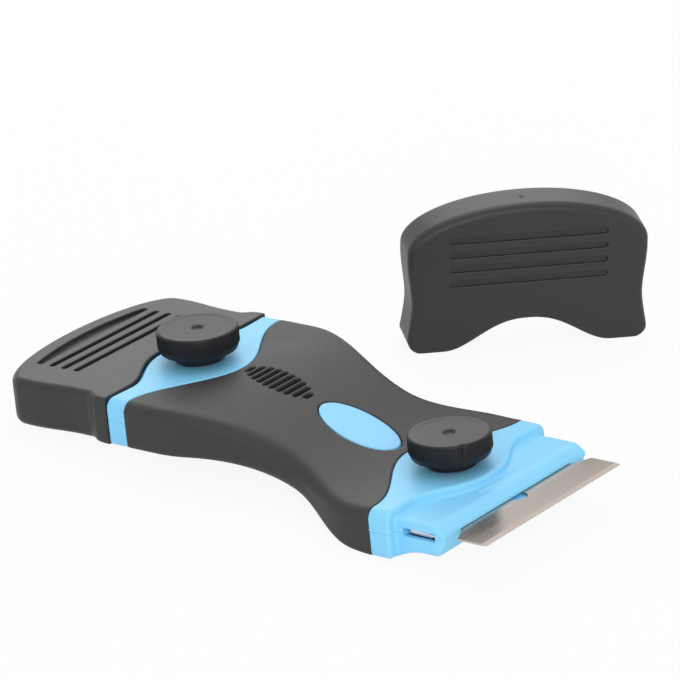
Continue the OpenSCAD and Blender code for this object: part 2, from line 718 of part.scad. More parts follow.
upper_shell();
lower_shell();
grip_sleeve();
badge_inlay();
shell_screws();
knob_head_right();
knob_stud_right();
stud_clip_right();
deck_washer_right();
clamp_plate_right();
clamp_nut_right();
blade_right();
knob_head_left();
knob_stud_left();
stud_clip_left();
deck_washer_left();
clamp_plate_left();
clamp_nut_left();
blade_left();
fitted_cap();
loose_cap();
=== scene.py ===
import json
import math

import bmesh
import bpy
import numpy as np
from mathutils import Matrix, Vector

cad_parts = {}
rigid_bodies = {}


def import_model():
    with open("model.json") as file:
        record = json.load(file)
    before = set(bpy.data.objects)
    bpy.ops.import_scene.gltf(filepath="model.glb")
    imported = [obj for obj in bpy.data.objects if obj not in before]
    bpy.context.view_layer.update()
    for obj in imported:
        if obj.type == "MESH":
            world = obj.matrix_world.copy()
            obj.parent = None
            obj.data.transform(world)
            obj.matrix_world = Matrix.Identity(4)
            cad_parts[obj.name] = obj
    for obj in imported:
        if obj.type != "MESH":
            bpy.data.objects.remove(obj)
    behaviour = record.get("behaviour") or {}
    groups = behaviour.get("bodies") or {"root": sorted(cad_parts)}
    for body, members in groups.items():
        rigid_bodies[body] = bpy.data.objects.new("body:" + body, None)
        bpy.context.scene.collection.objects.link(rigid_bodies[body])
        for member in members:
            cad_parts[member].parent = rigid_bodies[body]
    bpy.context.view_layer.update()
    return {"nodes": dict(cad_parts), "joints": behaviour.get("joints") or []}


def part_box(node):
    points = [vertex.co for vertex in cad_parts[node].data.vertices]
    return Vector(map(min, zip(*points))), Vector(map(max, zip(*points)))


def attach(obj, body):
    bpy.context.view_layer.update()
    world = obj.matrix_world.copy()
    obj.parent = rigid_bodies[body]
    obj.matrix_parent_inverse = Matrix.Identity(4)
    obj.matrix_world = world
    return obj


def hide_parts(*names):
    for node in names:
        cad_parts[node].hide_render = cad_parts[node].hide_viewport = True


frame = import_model()
print("stage: frame loaded")

# Frames of the tool, in millimetres: the handle's own, one at each end and one at each knob
joints = {joint["name"]: joint for joint in frame["joints"]}
sideNames = {1: "right", -1: "left"}
knobTurns = {side: joints["knob_" + name + "_turn"] for side, name in sideNames.items()}
deck = {side: Vector(knobTurns[side]["pos_m"]) * 1000 for side in sideNames}
up = Vector(knobTurns[1]["axis"]).normalized()
across = Vector((0.0, 1.0, 0.0))
along = across.cross(up)
middle = (deck[1] + deck[-1]) / 2
span = (deck[1] - deck[-1]).dot(along) / 2
rise = (deck[-1] - deck[1]).dot(up)


def placement(xAxis, yAxis, zAxis, origin):
    matrix = np.eye(4)
    for column, vector in enumerate((xAxis, yAxis, zAxis, origin)):
        matrix[:3, column] = np.array(vector) * 0.001
    return matrix


handlePlace = placement(along, across, up, middle)
endPlace = {side: placement(along * side, across, up, deck[side]) for side in deck}
knobPlace = {side: placement(along, across, up, deck[side]) for side in deck}


# Mesh helpers
def addObject(name, mesh, material):
    mesh.materials.clear()
    mesh.materials.append(material)
    obj = bpy.data.objects.new(name, mesh)
    bpy.context.scene.collection.objects.link(obj)
    return obj


def meshFrom(name, points, faces, matrix, material):
    placed = points @ matrix[:3, :3].T + matrix[:3, 3]
    if np.linalg.det(matrix[:3, :3]) < 0:
        faces = [face[::-1] for face in faces]
    mesh = bpy.data.meshes.new(name)
    mesh.from_pydata(placed.tolist(), [], [list(map(int, face)) for face in faces])
    mesh.update()
    mesh.shade_smooth()
    return addObject(name, mesh, material)


def gridLines(*stops):
    # stops alternate a position and the spacing from there to the next position
    values = []
    for start, step, stop in zip(stops[0::2], stops[1::2], stops[2::2]):
        count = max(1, round((stop - start) / step))
        values.extend(np.linspace(start, stop, count, endpoint=False))
    return np.array(values + [stops[-1]])


def bothSides(values):
    return np.unique(np.round(np.concatenate((-values, values)), 6))


def surfaceNet(field, lines):
    # one vertex in each cell the surface passes through, one quad round each grid edge it crosses
    depth = field(*np.meshgrid(*lines, indexing="ij"))
    shape = tuple(count - 1 for count in depth.shape)
    cells = int(np.prod(shape))
    total = np.zeros((cells, 3))
    hits = np.zeros(cells)
    rings = []
    for axis in range(3):
        low = np.take(depth, range(depth.shape[axis] - 1), axis)
        high = np.take(depth, range(1, depth.shape[axis]), axis)
        crossed = (low < 0) != (high < 0)
        at = np.argwhere(crossed)
        inner = low[crossed]
        part = inner / (inner - high[crossed])
        where = np.stack([lines[d][at[:, d]] for d in range(3)], 1)
        where[:, axis] += part * (lines[axis][at[:, axis] + 1] - lines[axis][at[:, axis]])
        p, q = (axis + 1) % 3, (axis + 2) % 3
        ring = []
        whole = np.ones(len(at), bool)
        for stepP, stepQ in ((-1, -1), (0, -1), (0, 0), (-1, 0)):
            cell = at.copy()
            cell[:, p] += stepP
            cell[:, q] += stepQ
            good = np.all((cell >= 0) & (cell < shape), 1)
            whole &= good
            flat = np.ravel_multi_index(np.where(good[:, None], cell, 0).T, shape)
            ring.append(flat)
            hits += np.bincount(flat[good], minlength=cells)
            for d in range(3):
                total[:, d] += np.bincount(flat[good], weights=where[good, d], minlength=cells)
        ring = np.stack(ring, 1)
        ring[inner >= 0] = ring[inner >= 0][:, ::-1]
        rings.append(ring[whole])
    used = hits > 0
    number = np.cumsum(used) - 1
    return total[used] / hits[used][:, None], number[np.concatenate(rings)]


settling = {"probe": 0.02, "turns": 3, "leastSlope": 0.2, "longestMove": 0.15}


def settle(field, points):
    # moves each vertex onto the surface itself, along the field's own slope
    h = settling["probe"]
    for turn in range(settling["turns"]):
        x, y, z = points.T
        slope = np.stack([
            field(x + h, y, z) - field(x - h, y, z),
            field(x, y + h, z) - field(x, y - h, z),
            field(x, y, z + h) - field(x, y, z - h),
        ], 1) / (2 * h)
        length = np.maximum(np.sum(slope * slope, 1), settling["leastSlope"])
        move = slope * (field(x, y, z) / length)[:, None]
        points = points - np.clip(move, -settling["longestMove"], settling["longestMove"])
    return points


def sculpt(name, field, lines, matrix, material):
    points, quads = surfaceNet(field, lines)
    obj = meshFrom(name, settle(field, points), quads, matrix, material)
    print("piece:", name, len(obj.data.vertices), "vertices")
    return obj


# Rounded ways to join fields: each is below zero inside
def meet(a, b, r):
    return np.minimum(np.maximum(a, b), -r) + np.hypot(np.maximum(a + r, 0), np.maximum(b + r, 0))


def weld(a, b, r):
    return np.maximum(np.minimum(a, b), r) - np.hypot(np.maximum(r - a, 0), np.maximum(r - b, 0))


def carve(a, b, r):
    return meet(a, -b, r)


def block(x, y, z, low, high):
    sides = [low[0] - x, x - high[0], low[1] - y, y - high[1], low[2] - z, z - high[2]]
    return np.maximum.reduce(sides)


def ease(t):
    c = np.clip(t, 0, 1)
    return c * c * (3 - 2 * c)


def swell(t):
    return np.cos(np.pi / 2 * np.minimum(1, np.abs(t))) ** 2


def steepness(curve, v):
    reach = 0.05
    return np.hypot(1, (curve(v + reach) - curve(v - reach)) / (2 * reach))


def oval(u, v, a, b):
    # distance from an oval's edge, true close to the edge
    ring = np.hypot(u / a, v / b)
    return ring * (ring - 1) / np.maximum(np.hypot(u / a ** 2, v / b ** 2), 1e-4)


# Materials: colour, roughness and grain all vary over the Object coordinates
looks = {
    "bluePlastic": {
        "colour": (0.26, 0.69, 1.0), "tint": (0.24, 0.66, 0.98), "cloud": 70, "grain": 2200,
        "roughness": (0.40, 0.48), "bump": 0.004, "specular": 0.36},
    "badgePlastic": {
        "colour": (0.28, 0.67, 1.0), "tint": (0.26, 0.65, 0.98), "cloud": 90, "grain": 2600,
        "roughness": (0.42, 0.48), "bump": 0.003, "specular": 0.4},
    "softGrip": {
        "colour": (0.030, 0.030, 0.031), "tint": (0.025, 0.025, 0.026), "cloud": 120, "grain": 1800,
        "roughness": (0.50, 0.60), "bump": 0.016, "specular": 0.42},
    "capPlastic": {
        "colour": (0.034, 0.034, 0.036), "tint": (0.030, 0.030, 0.032), "cloud": 80, "grain": 2600,
        "roughness": (0.38, 0.46), "bump": 0.007, "specular": 0.32},
    "knobPlastic": {
        "colour": (0.015, 0.015, 0.017), "tint": (0.013, 0.013, 0.015), "cloud": 150, "grain": 2400,
        "roughness": (0.36, 0.44), "bump": 0.005, "specular": 0.25},
    "bladeSteel": {
        "colour": (0.55, 0.48, 0.425), "tint": (0.52, 0.45, 0.40), "cloud": 60, "grain": 700,
        "roughness": (0.24, 0.29), "bump": 0.0003, "specular": 0.5, "metal": 1.0,
        "stretch": (1, 0.03, 1)},
    "clampSteel": {
        "colour": (0.72, 0.71, 0.70), "tint": (0.64, 0.64, 0.64), "cloud": 150, "grain": 1500,
        "roughness": (0.18, 0.30), "bump": 0.001, "specular": 0.5, "metal": 1.0,
        "stretch": (1, 0.1, 1)},
    "platedSteel": {
        "colour": (0.70, 0.71, 0.73), "tint": (0.60, 0.61, 0.64), "cloud": 300, "grain": 2500,
        "roughness": (0.22, 0.36), "bump": 0.002, "specular": 0.5, "metal": 1.0},
}


def addNode(tree, kind, inputs=None, **settings):
    node = tree.nodes.new(kind)
    for key, value in settings.items():
        setattr(node, key, value)
    for key, value in (inputs or {}).items():
        node.inputs[key].default_value = value
    return node


def makeMaterial(name, look):
    material = bpy.data.materials.new(name)
    material.use_nodes = True
    tree = material.node_tree
    link = tree.links.new
    shader = tree.nodes["Principled BSDF"]
    shader.inputs["Metallic"].default_value = look.get("metal", 0.0)
    shader.inputs["Specular IOR Level"].default_value = look["specular"]
    where = addNode(tree, "ShaderNodeTexCoord")
    mapping = addNode(tree, "ShaderNodeMapping", {"Scale": look.get("stretch", (1, 1, 1))})
    cloud = addNode(tree, "ShaderNodeTexNoise", {"Scale": look["cloud"], "Detail": 3.0})
    grain = addNode(tree, "ShaderNodeTexNoise", {"Scale": look["grain"], "Detail": 2.0})
    colour = addNode(tree, "ShaderNodeMix", data_type="RGBA")
    colour.inputs["A"].default_value = (*look["colour"], 1)
    colour.inputs["B"].default_value = (*look["tint"], 1)
    smoothest, roughest = look["roughness"]
    rough = addNode(tree, "ShaderNodeMapRange", {
        "From Min": 0.3, "From Max": 0.7, "To Min": smoothest, "To Max": roughest})
    bump = addNode(tree, "ShaderNodeBump", {"Strength": 1.0, "Distance": look["bump"] * 0.001})
    link(where.outputs["Object"], mapping.inputs["Vector"])
    link(mapping.outputs["Vector"], cloud.inputs["Vector"])
    link(mapping.outputs["Vector"], grain.inputs["Vector"])
    link(cloud.outputs["Fac"], colour.inputs["Factor"])
    link(grain.outputs["Fac"], rough.inputs["Value"])
    link(grain.outputs["Fac"], bump.inputs["Height"])
    link(colour.outputs["Result"], shader.inputs["Base Color"])
    link(rough.outputs["Result"], shader.inputs["Roughness"])
    link(bump.outputs["Normal"], shader.inputs["Normal"])
    return material


materials = {name: makeMaterial(name, look) for name, look in looks.items()}
print("stage: materials")

# The handle's side view: cranked between a high left deck and a low right deck
handle = {"thick": 13.2, "half": 35.4, "topRun": (-28, 37), "underRun": (-21, 42),
          "waistMid": 8, "waistLeft": 39, "waistRight": 27, "waistCut": 8,
          "edge": 3.0, "lowEdge": 1.2, "waistEdge": 3.4, "topWaistEdge": 1.6}
bell = {"edge": 1.6, "depth": 13.4, "half": 32, "gap": 0.1, "lip": 0.3}
# A faint hollow each side of the left deck
thumbRest = {"s": -28.0, "y": 22.5, "long": 7.0, "wide": 6.0, "deep": 0.4}


def crank(s, run):
    return rise * (0.5 - ease((s - run[0]) / (run[1] - run[0])))


def topZ(s):
    return crank(s, handle["topRun"])


def underZ(s):
    return crank(s, handle["underRun"]) - handle["thick"]


def waist(s):
    reach = np.where(s < handle["waistMid"], handle["waistLeft"], handle["waistRight"])
    return swell((s - handle["waistMid"]) / reach)


def halfWidth(s):
    return handle["half"] - handle["waistCut"] * waist(s)


def bellX(y):
    return -bell["edge"] - bell["depth"] * swell(y / bell["half"])


# Soft grip sleeve with its rounded vents and the badge's seat
vents = {"count": 10, "middle": -15.2, "pitch": 2.2, "radius": 0.76, "depth": 2.0,
         "reach": 10.6, "taper": 4.8, "floorEdge": 0.1, "edge": 0.18}
badge = {"middle": 12, "long": 12.5, "wide": 7.2, "seat": 0.28, "depth": 1.0,
         "floorEdge": 0.1, "edge": 0.15, "segments": 96, "crease": 50}


def ventCuts(s, y):
    nearest = np.full(np.broadcast(s, y).shape, np.inf)
    for number in range(vents["count"]):
        step = number - (vents["count"] - 1) / 2
        reach = vents["reach"] * math.sqrt(1 - (step / vents["taper"]) ** 2) / 2 - vents["radius"]
        away = np.maximum(np.abs(y) - reach, 0)
        centre = vents["middle"] + step * vents["pitch"]
        nearest = np.minimum(nearest, np.hypot(s - centre, away) - vents["radius"])
    return nearest


def badgeOval(s, y):
    return oval(s - badge["middle"], y, badge["long"], badge["wide"])


def gripField(s, y, z):
    top = (z - topZ(s)) / steepness(topZ, s)
    under = (underZ(s) - z) / steepness(underZ, s)
    side = (np.abs(y) - halfWidth(s)) / steepness(halfWidth, s)
    restS = (s - thumbRest["s"]) / thumbRest["long"]
    restY = (np.abs(y) - thumbRest["y"]) / thumbRest["wide"]
    hollow = thumbRest["deep"] * np.exp(-(restS ** 2 + restY ** 2))
    low = handle["lowEdge"] + handle["waistEdge"] * waist(s)
    high = handle["edge"] + handle["topWaistEdge"] * waist(s)
    solid = meet(meet(top + hollow, side, high), under, low)
    ends = (np.abs(s) - span - bellX(y) + bell["gap"]) / steepness(bellX, y)
    solid = meet(solid, ends, bell["lip"])
    slots = meet(ventCuts(s, y), -vents["depth"] - top, vents["floorEdge"])
    seat = meet(badgeOval(s, y) - badge["seat"], -badge["depth"] - top, badge["floorEdge"])
    return carve(carve(solid, slots, vents["edge"]), seat, badge["edge"])


gripLines = (
    gridLines(-41.8, 0.6, -26.6, 0.2, -3.8, 0.55, 41.8),
    bothSides(gridLines(0, 0.22, 7.4, 0.6, 36)),
    gridLines(-22.4, 0.42, 9.2),
)
grip = sculpt("gripSleeve", gripField, gripLines, handlePlace, materials["softGrip"])
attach(grip, "handle")
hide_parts("grip_sleeve")

# Badge: a slightly crowned oval with a fine line inside its edge, in shares of its radius and lifts
badgeSteps = ((0.0, 0.16), (0.3, 0.155), (0.55, 0.14), (0.75, 0.115), (0.86, 0.095),
              (0.89, 0.085), (0.9, 0.03), (0.92, 0.03), (0.93, 0.08), (0.955, 0.07),
              (0.975, 0.03), (0.99, -0.05), (1.0, -0.25), (1.0, -0.95))
badgePoints = [(badge["middle"], 0.0, float(topZ(badge["middle"])) + badgeSteps[0][1])]
badgeFaces = []
badgeRound = badge["segments"]
for part, lift in badgeSteps[1:]:
    for number in range(badgeRound):
        angle = 2 * math.pi * number / badgeRound
        s = badge["middle"] + badge["long"] * part * math.cos(angle)
        badgePoints.append((s, badge["wide"] * part * math.sin(angle), float(topZ(s)) + lift))
for number in range(badgeRound):
    follow = (number + 1) % badgeRound
    badgeFaces.append((0, 1 + number, 1 + follow))
    for ring in range(len(badgeSteps) - 2):
        inner, outer = 1 + ring * badgeRound, 1 + (ring + 1) * badgeRound
        badgeFaces.append((inner + number, outer + number, outer + follow, inner + follow))
lastRing = 1 + (len(badgeSteps) - 2) * badgeRound
badgeFaces.append(tuple(lastRing + number for number in reversed(range(badgeRound))))
badgePiece = meshFrom("badgeInlay", np.array(badgePoints), badgeFaces, handlePlace,
                      materials["badgePlastic"])
badgePiece.data.set_sharp_from_angle(angle=math.radians(badge["crease"]))
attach(badgePiece, "handle")
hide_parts("badge_inlay")
print("stage: grip and badge")

# Blue ends: a deck with a stepped nose, then a lower blade holder with a bevelled front.
# The deck's step follows the arch of the caps' rim.
arch = {"rim": 5.2, "deep": 8.7, "half": 24.5, "fullness": 1.22}
end = {"half": 35.15, "seam": -6.1, "split": 0.006, "seamEdge": 0.05, "stepGap": 0.6,
       "shoulder": 0.4, "shoulderHalf": 33.6, "frontEdge": 1.1, "fillet": 1.0}
holder = {"half": 31.9, "top": -2.4, "ridge": 18, "front": 21, "lip": -4.5, "jaw": -5.2,
          "low": -11.1, "lean": 2.6, "slope": ((5, -13.2), (10.4, -11.1)), "slopeEdge": 1.0,
          "corner": 1.0, "crest": 0.8, "frontEdge": 0.5, "lowEdge": 0.6, "heelEdge": 0.3}
well = {"washer": 6.15, "washerFloor": -0.6, "clip": 4.8, "clipRoof": -3.0, "bore": 2.7,
        "boreFloor": -12.2}
rooms = (((7.3, -30.3, -8.7), (17.7, 30.3, -5.2)), ((-9.3, -9.3, -8.7), (17.7, 9.3, -5.2)),
         ((-4.4, -4.4, -11.7), (4.4, 4.4, -5.0)))  # for the plate's bar, its tail and the nut
roomEdge = 0.12
mouth = {"low": (11.5, -24.3, -6.4), "high": (40.0, 24.3, -5.2), "edge": 0.15}
window = {"from": 7.0, "to": 17.7, "low": -6.95, "high": -4.7, "inner": 29.6, "outer": 60.0,
          "edge": 0.2}
bead = {"reach": 15.4, "half": 7.4, "bow": 0.8, "width": 0.62, "sink": 0.18, "fillet": 0.2}
tick = {"x": -0.6, "z": -5.6, "long": 1.1, "high": 0.4, "proud": 0.25, "fillet": 0.1}
tongue = {"from": 16.0, "to": 24.4, "half": 4.0, "top": -6.2, "under": -7.2, "fillet": 0.3}
screw = {"x": 1.4, "y": 27.0, "bore": 2.25, "boreEdge": 0.2, "seat": -10.4, "head": 2.1,
         "height": 1.7, "slot": 0.6, "slotDepth": 0.9, "seed": 3}


def archX(y):
    return arch["deep"] * swell((np.abs(y) / arch["half"]) ** arch["fullness"])


def frontX(y):
    out = np.clip((np.abs(y) - arch["half"]) / (end["shoulderHalf"] - arch["half"]), 0, 1)
    return arch["rim"] + archX(y) - end["stepGap"] + end["shoulder"] * out


def blueSolid(side, x, y, z):
    s = side * (span + x)
    level = z - side * rise / 2
    wide = np.abs(y)
    top = (level - topZ(s)) / steepness(topZ, s)
    under = (underZ(s) - level) / steepness(underZ, s)
    body = meet(meet(top, wide - end["half"], handle["edge"]), under, handle["lowEdge"])
    body = meet(body, (x - frontX(y)) / steepness(frontX, y), end["frontEdge"])
    body = meet(body, (bellX(y) - x) / steepness(bellX, y), bell["lip"])
    run, drop = holder["front"] - holder["ridge"], holder["top"] - holder["lip"]
    bevel = ((x - holder["ridge"]) * drop + (z - holder["top"]) * run) / math.hypot(run, drop)
    height = holder["jaw"] - holder["low"]
    lean = (x - holder["front"]) * height - (z - holder["jaw"]) * holder["lean"]
    lean = lean / math.hypot(height, holder["lean"])
    (x0, z0), (x1, z1) = holder["slope"]
    slope = (z0 + (x - x0) * (z1 - z0) / (x1 - x0) - z) / math.hypot(1, (z1 - z0) / (x1 - x0))
    bottom = weld(holder["low"] - z, slope, holder["slopeEdge"])
    jaws = meet(z - holder["top"], bevel, holder["crest"])
    jaws = meet(jaws, np.maximum(x - holder["front"], lean), holder["frontEdge"])
    jaws = meet(jaws, bottom, holder["lowEdge"])
    jaws = meet(jaws, wide - holder["half"], holder["corner"])
    jaws = meet(jaws, -x, holder["heelEdge"])
    solid = np.maximum(weld(body, jaws, end["fillet"]), under)
    radius = (bead["half"] ** 2 + bead["bow"] ** 2) / (2 * bead["bow"])
    off = np.hypot(x - bead["reach"] + radius, y) - radius
    past = np.maximum(wide - bead["half"], 0)
    raised = z - holder["top"] + bead["sink"]
    line = np.sqrt(off ** 2 + past ** 2 + raised ** 2)
    solid = weld(solid, line - bead["width"], bead["fillet"])
    spotX, spotY = (x - tick["x"]) / tick["long"], (wide - end["half"]) / tick["proud"]
    spot = np.sqrt(spotX ** 2 + spotY ** 2 + ((z - tick["z"]) / tick["high"]) ** 2)
    return weld(solid, (spot - 1) * tick["proud"], tick["fillet"])


def innerRooms(x, y, z):
    around = np.hypot(x, y)
    clipRoom = np.maximum(around - well["clip"], z - well["clipRoof"])
    studBore = np.maximum(around - well["bore"], well["boreFloor"] - z)
    washerSeat = np.maximum(around - well["washer"], well["washerFloor"] - z)
    hollow = np.minimum(np.minimum(clipRoom, studBore), washerSeat)
    for low, high in rooms:
        hollow = np.minimum(hollow, block(x, y, z, low, high))
    pane = block(x, np.abs(y), z, (window["from"], window["inner"], window["low"]),
                 (window["to"], window["outer"], window["high"]))
    return hollow, pane


def upperField(side):
    def field(x, y, z):
        hollow, pane = innerRooms(x, y, z)
        solid = meet(blueSolid(side, x, y, z), end["seam"] + end["split"] - z, end["seamEdge"])
        solid = carve(solid, hollow, roomEdge)
        solid = carve(solid, block(x, y, z, mouth["low"], mouth["high"]), mouth["edge"])
        return carve(solid, pane, window["edge"])
    return field


def lowerField(side):
    def field(x, y, z):
        hollow, pane = innerRooms(x, y, z)
        solid = meet(blueSolid(side, x, y, z), z - end["seam"] + end["split"], end["seamEdge"])
        shelf = block(x, y, z, (tongue["from"], -tongue["half"], tongue["under"]),
                      (tongue["to"], tongue["half"], tongue["top"]))
        solid = weld(solid, shelf, tongue["fillet"])
        solid = carve(solid, hollow, roomEdge)
        bore = np.hypot(x - screw["x"], np.abs(y) - screw["y"]) - screw["bore"]
        solid = carve(solid, np.maximum(bore, z - screw["seat"]), screw["boreEdge"])
        return carve(solid, pane, window["edge"])
    return field


endX = gridLines(-16.4, 0.36, 22.6)
endY = bothSides(gridLines(0, 0.5, 28.6, 0.32, 36.4))
lowerX = gridLines(-16.4, 0.36, 25.4)
for side, name in sideNames.items():
    upper = sculpt("upperShell." + name, upperField(side), (endX, endY, gridLines(-6.6, 0.26, 1.8)),
                   endPlace[side], materials["bluePlastic"])
    lower = sculpt("lowerShell." + name, lowerField(side), (lowerX, endY, gridLines(-13.9, 0.3, -5.6)),
                   endPlace[side], materials["bluePlastic"])
    for piece, node in ((upper, "upper_shell"), (lower, "lower_shell")):
        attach(piece, "handle")
        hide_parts(node)
print("stage: blue shells")

# Clamp plates: a flat bar and tail, with rounded ears that show in the windows
plate = {"bar": (7.6, 17.4), "half": 30.0, "tail": (-9.0, 12.5), "tailHalf": 9.0,
         "low": -6.9, "high": -5.9, "edge": 0.12, "bore": 2.7, "boreEdge": 0.1}
ear = {"from": 8.2, "to": 15.8, "inner": 27.6, "reach": 30.25, "z": -5.92, "fall": 0.045,
       "half": 0.66, "edge": 0.56, "sideEdge": 0.2, "fillet": 0.15}


def plateField(x, y, z):
    wide = np.abs(y)
    flat = np.maximum(plate["low"] - z, z - plate["high"])
    bar = np.maximum.reduce([plate["bar"][0] - x, x - plate["bar"][1], wide - plate["half"]])
    tail = np.maximum.reduce([plate["tail"][0] - x, x - plate["tail"][1], wide - plate["tailHalf"]])
    solid = meet(np.minimum(bar, tail), flat, plate["edge"])
    rim = np.abs(z - ear["z"] + ear["fall"] * (x - ear["from"])) - ear["half"]
    tab = meet(meet(ear["from"] - x, rim, ear["edge"]), x - ear["to"], ear["edge"])
    tab = meet(meet(tab, wide - ear["reach"], ear["sideEdge"]), ear["inner"] - wide, ear["sideEdge"])
    return carve(weld(solid, tab, ear["fillet"]), np.hypot(x, y) - plate["bore"], plate["boreEdge"])


plateLines = (
    gridLines(-9.5, 0.4, 18.0),
    bothSides(gridLines(0, 0.5, 26.8, 0.2, 30.8)),
    gridLines(-7.2, 0.15, -5.0),
)
for side, name in sideNames.items():
    piece = sculpt("clampPlate." + name, plateField, plateLines, endPlace[side], materials["clampSteel"])
    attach(piece, "clamp_" + name)
    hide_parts("clamp_plate_" + name)
print("stage: clamp plates")

# Blade caps: flat hollow mouldings with an arched rim, a waist and four finger grooves a face
cap = {"midZ": -6.6, "length": 43.9, "half": 35.15, "thick": 6.9, "wall": 1.1, "face": 1.6,
       "rimEdge": 0.35, "lipEdge": 0.9, "lipFrom": 1, "lipOver": 6, "sideEdge": 1.9,
       "tipEdge": 2.4, "tipFrom": 28, "tipOver": 8, "roomEdge": 0.8, "mouthEdge": 0.3}
fittedWaist = {"oval": 31.5, "in": 1.6, "from": 3.4, "over": 4.6, "out": 1.3, "outFrom": 12.0,
               "outOver": 16.0, "corner": 0.7, "bowedFace": 1}
looseWaist = {"oval": 30.4, "in": 1.5, "from": 0.5, "over": 14.0, "out": 1.3, "outFrom": 13.5,
              "outOver": 15.0, "corner": 4.5, "bowedFace": -1}
looseTurn = math.radians(138.8)  # how the loose cap is turned on the table
underRim = {"deep": 1.3, "half": 33, "fade": 1.5, "below": -4.5}  # the rim is set back underneath
leadIn = {"deep": 1.55, "from": -0.2, "slope": 0.533, "half": 33.2, "fade": 0.8}  # a wider way in
gate = {"y": 1.3, "z": 0.8, "radius": 1.0, "above": 0.55, "edge": 0.1}  # mark on the closed end
grooves = {"count": 4, "first": 34.2, "pitch": 4.4, "half": 23.0, "radius": 0.92, "depth": 1.3,
           "shallow": 0.85, "bow": 2.9, "ledge": 0.3, "leastWide": 0.2, "edge": 0.16,
           "floorEdge": 0.1, "bowEdge": 0.3, "endEdge": 0.5}


def capHalf(waistline, x):
    drawn = waistline["in"] * ease((x - waistline["from"]) / waistline["over"])
    flared = waistline["out"] * ease((x - waistline["outFrom"]) / waistline["outOver"])
    return cap["half"] - drawn + flared


def capEdge(x):
    toSide = (cap["sideEdge"] - cap["lipEdge"]) * ease((x - cap["lipFrom"]) / cap["lipOver"])
    toTip = (cap["tipEdge"] - cap["sideEdge"]) * ease((x - cap["tipFrom"]) / cap["tipOver"])
    return cap["lipEdge"] + toSide + toTip


def capOutline(waistline, x, y):
    def half(v):
        return capHalf(waistline, v)
    sides = (np.abs(y) - half(x)) / steepness(half, x)
    start = waistline["oval"]
    tip = oval(np.maximum(x - start, 0), y, cap["length"] - start, float(half(start)))
    return np.where(x > start, tip, sides)


def bowedGroove(x, y, height):
    inner = grooves["first"] - grooves["radius"]
    outer = grooves["first"] + grooves["radius"] + grooves["bow"] * (1 - (y / grooves["half"]) ** 2)
    plan = meet(inner - x, x - outer, grooves["bowEdge"])
    plan = meet(plan, np.abs(y) - grooves["half"], grooves["endEdge"])
    part = np.clip((x - inner) / np.maximum(outer - inner, grooves["leastWide"]), 0, 1)
    depth = grooves["ledge"] + (grooves["depth"] - grooves["ledge"]) * part
    return meet(plan, cap["thick"] - depth - height, grooves["floorEdge"])


def plainGroove(x, y, height, number, bowed):
    away = np.maximum(np.abs(y) - grooves["half"] + grooves["radius"], 0)
    u = x - grooves["first"] + grooves["pitch"] * number
    plan = np.hypot(u, away) - grooves["radius"]
    depth = grooves["depth"] if bowed else grooves["shallow"]
    return meet(plan, cap["thick"] - depth - height, grooves["floorEdge"])


def capField(waistline):
    run = cap["length"] - waistline["oval"]
    tip = waistline["oval"] + run * math.sqrt(1 - (gate["y"] / cap["half"]) ** 2)

    def field(x, y, z):
        outline = capOutline(waistline, x, y)
        wide = np.abs(y)
        setBack = underRim["deep"] * ease((underRim["half"] - wide) / underRim["fade"])
        setBack = setBack * (z < underRim["below"])
        rim = (np.maximum(archX(y), setBack) - x) / steepness(archX, y)
        solid = meet(outline, np.abs(z) - cap["thick"], capEdge(x))
        solid = np.maximum(meet(solid, rim, cap["rimEdge"]), meet(outline, rim, waistline["corner"]))
        ramp = np.clip(leadIn["deep"] - (x - leadIn["from"]) * leadIn["slope"], 0, None)
        ramp = ramp * ease((leadIn["half"] - wide) / leadIn["fade"]) * (z < 0)
        inFace = np.abs(z) - cap["thick"] + cap["face"] - ramp
        room = meet(outline + cap["wall"], inFace, cap["roomEdge"])
        solid = carve(solid, room, cap["mouthEdge"])
        mark = np.sqrt((x - tip - gate["above"]) ** 2 + (y - gate["y"]) ** 2 + (z - gate["z"]) ** 2)
        solid = carve(solid, mark - gate["radius"], gate["edge"])
        for face in (1, -1):
            bowed = face == waistline["bowedFace"]
            height = face * z
            for number in range(grooves["count"]):
                if bowed and number == 0:
                    cut = bowedGroove(x, y, height)
                else:
                    cut = plainGroove(x, y, height, number, bowed)
                solid = carve(solid, cut, grooves["edge"])
        return solid
    return field


capLines = (
    gridLines(-0.8, 0.28, 3.0, 0.7, 19.0, 0.22, 37.4, 0.4, 44.6),
    bothSides(gridLines(0, 0.9, 20.8, 0.3, 23.6, 0.8, 30.6, 0.38, 36.2)),
    bothSides(gridLines(0, 0.8, 4.8, 0.24, 7.4)),
)
fittedPlace = placement(-along, across, up, deck[-1] - along * arch["rim"] + up * cap["midZ"])
looseLow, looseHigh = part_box("loose_cap")
looseMid = Vector(((looseLow.x + looseHigh.x) * 500, (looseLow.y + looseHigh.y) * 500,
                   looseLow.z * 1000))
loosePlace = placement((0, 0, 1), (-math.sin(looseTurn), math.cos(looseTurn), 0),
                       (-math.cos(looseTurn), -math.sin(looseTurn), 0), looseMid)
fittedCap = sculpt("fittedCap", capField(fittedWaist), capLines, fittedPlace, materials["capPlastic"])
looseCap = sculpt("looseCap", capField(looseWaist), capLines, loosePlace, materials["capPlastic"])
for piece, body in ((fittedCap, "fitted_cap"), (looseCap, "loose_cap")):
    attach(piece, body)
    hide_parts(body)
print("stage: caps")


# Geometry Nodes for what repeats
def newTree(name, sockets):
    tree = bpy.data.node_groups.new(name, "GeometryNodeTree")
    tree.interface.new_socket("Geometry", in_out="INPUT", socket_type="NodeSocketGeometry")
    for label, kind in sockets:
        tree.interface.new_socket(label, in_out="INPUT", socket_type=kind)
    tree.interface.new_socket("Geometry", in_out="OUTPUT", socket_type="NodeSocketGeometry")
    return tree, tree.nodes.new("NodeGroupInput"), tree.nodes.new("NodeGroupOutput")


